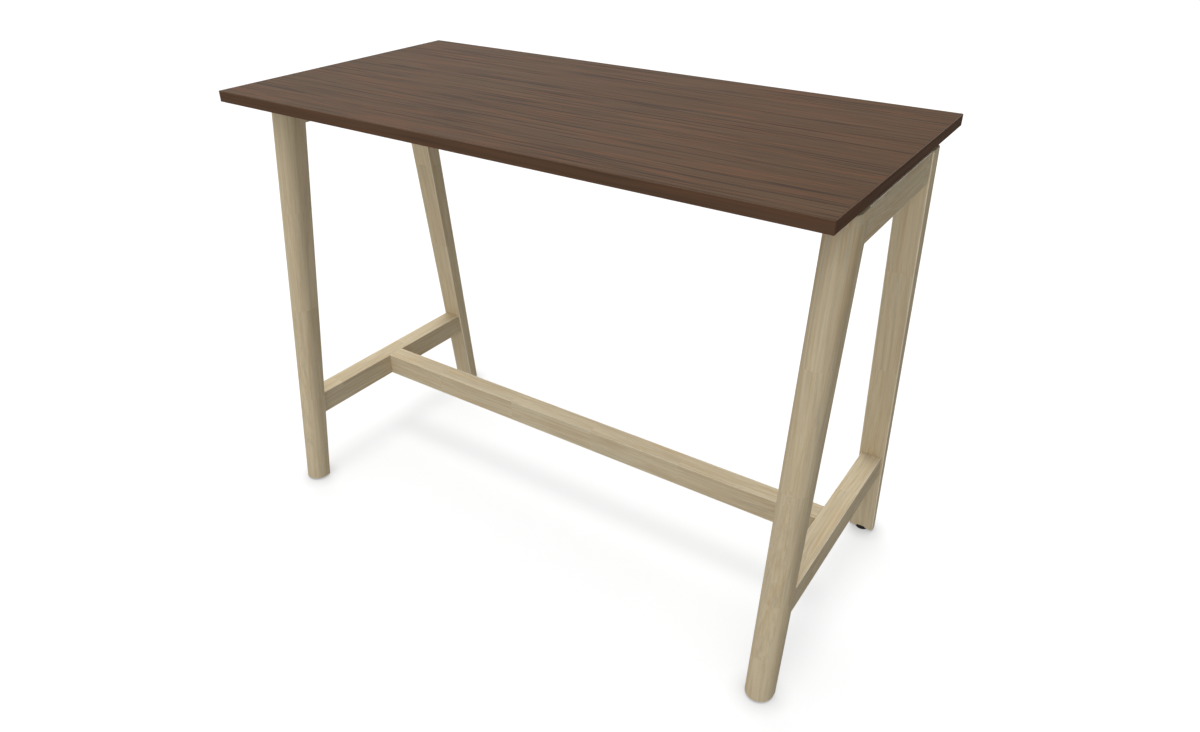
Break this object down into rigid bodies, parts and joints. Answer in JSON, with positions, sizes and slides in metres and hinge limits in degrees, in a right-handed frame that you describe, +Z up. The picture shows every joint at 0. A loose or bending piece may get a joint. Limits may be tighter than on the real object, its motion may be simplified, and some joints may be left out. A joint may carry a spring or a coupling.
{
  "type": "high table",
  "caption": "High table with a rectangular walnut-look top floating above two splayed trestles of D-section wooden legs, joined by a low foot rail.",
  "frame": {"origin": "on the floor under the middle of the tabletop", "axes": "+X along the table's long side, to the right in the picture; +Y across the table, away from the camera; +Z up"},
  "size_m": [1.4, 0.7, 1.05],
  "materials": {
    "walnut_laminate": "satin laminate with a straight walnut figure",
    "walnut_edge": "satin edge band with the figure of the top",
    "board": "raw particle board",
    "backing": "matt backing laminate",
    "pale_wood": "matt clear lacquer on pale hardwood",
    "dowel_wood": "raw beech",
    "black_steel": "fine powder coat",
    "zinc_steel": "zinc plated",
    "cam_metal": "die cast, as cast",
    "black_plastic": "moulded, matt"
  },
  "bodies": {
    "table": {"top_laminate": "walnut_laminate", "edge_band_front": "walnut_edge", "edge_band_rear": "walnut_edge", "edge_band_left": "walnut_edge", "edge_band_right": "walnut_edge", "top_core": "board", "top_backing": "backing", "leg_front_left": "pale_wood", "leg_front_right": "pale_wood", "leg_rear_left": "pale_wood", "leg_rear_right": "pale_wood", "top_crossbar_left": "pale_wood", "top_crossbar_right": "pale_wood", "foot_crossbar_left": "pale_wood", "foot_crossbar_right": "pale_wood", "foot_rail": "pale_wood", "topbar_dowels": "dowel_wood", "footbar_dowels": "dowel_wood", "rail_dowels": "dowel_wood", "support_beam_front": "black_steel", "support_beam_rear": "black_steel", "beam_end_plates": "black_steel", "beam_bolts": "zinc_steel", "beam_inserts": "zinc_steel", "top_screws": "zinc_steel", "top_inserts": "zinc_steel", "foot_inserts": "zinc_steel", "rail_connecting_bolts": "zinc_steel", "rail_cam_locks": "cam_metal"},
    "pad_front_left": {"foot_pad_front_left": "black_plastic"},
    "stem_front_left": {"foot_stem_front_left": "zinc_steel"},
    "pad_front_right": {"foot_pad_front_right": "black_plastic"},
    "stem_front_right": {"foot_stem_front_right": "zinc_steel"},
    "pad_rear_left": {"foot_pad_rear_left": "black_plastic"},
    "stem_rear_left": {"foot_stem_rear_left": "zinc_steel"},
    "pad_rear_right": {"foot_pad_rear_right": "black_plastic"},
    "stem_rear_right": {"foot_stem_rear_right": "zinc_steel"}
  },
  "joints": [
    {"name": "foot_height_front_left", "type": "slide", "parent": "table", "child": "pad_front_left", "axis": [0, 0, -1], "range_m": [0, 0.01]},
    {"name": "foot_screw_front_left", "type": "hinge", "parent": "pad_front_left", "child": "stem_front_left", "pos_m": [-0.6675, -0.313, 0.005], "axis": [0, 0, -1], "range_deg": [0, 2880]},
    {"name": "foot_height_front_right", "type": "slide", "parent": "table", "child": "pad_front_right", "axis": [0, 0, -1], "range_m": [0, 0.01]},
    {"name": "foot_screw_front_right", "type": "hinge", "parent": "pad_front_right", "child": "stem_front_right", "pos_m": [0.6675, -0.313, 0.005], "axis": [0, 0, -1], "range_deg": [0, 2880]},
    {"name": "foot_height_rear_left", "type": "slide", "parent": "table", "child": "pad_rear_left", "axis": [0, 0, -1], "range_m": [0, 0.01]},
    {"name": "foot_screw_rear_left", "type": "hinge", "parent": "pad_rear_left", "child": "stem_rear_left", "pos_m": [-0.6675, 0.313, 0.005], "axis": [0, 0, -1], "range_deg": [0, 2880]},
    {"name": "foot_height_rear_right", "type": "slide", "parent": "table", "child": "pad_rear_right", "axis": [0, 0, -1], "range_m": [0, 0.01]},
    {"name": "foot_screw_rear_right", "type": "hinge", "parent": "pad_rear_right", "child": "stem_rear_right", "pos_m": [0.6675, 0.313, 0.005], "axis": [0, 0, -1], "range_deg": [0, 2880]}
  ],
  "couplings": [
    {"joint": "foot_screw_front_left", "follows": "foot_height_front_left", "rad_per_m": 5026.5},
    {"joint": "foot_screw_front_right", "follows": "foot_height_front_right", "rad_per_m": 5026.5},
    {"joint": "foot_screw_rear_left", "follows": "foot_height_rear_left", "rad_per_m": 5026.5},
    {"joint": "foot_screw_rear_right", "follows": "foot_height_rear_right", "rad_per_m": 5026.5}
  ]
}
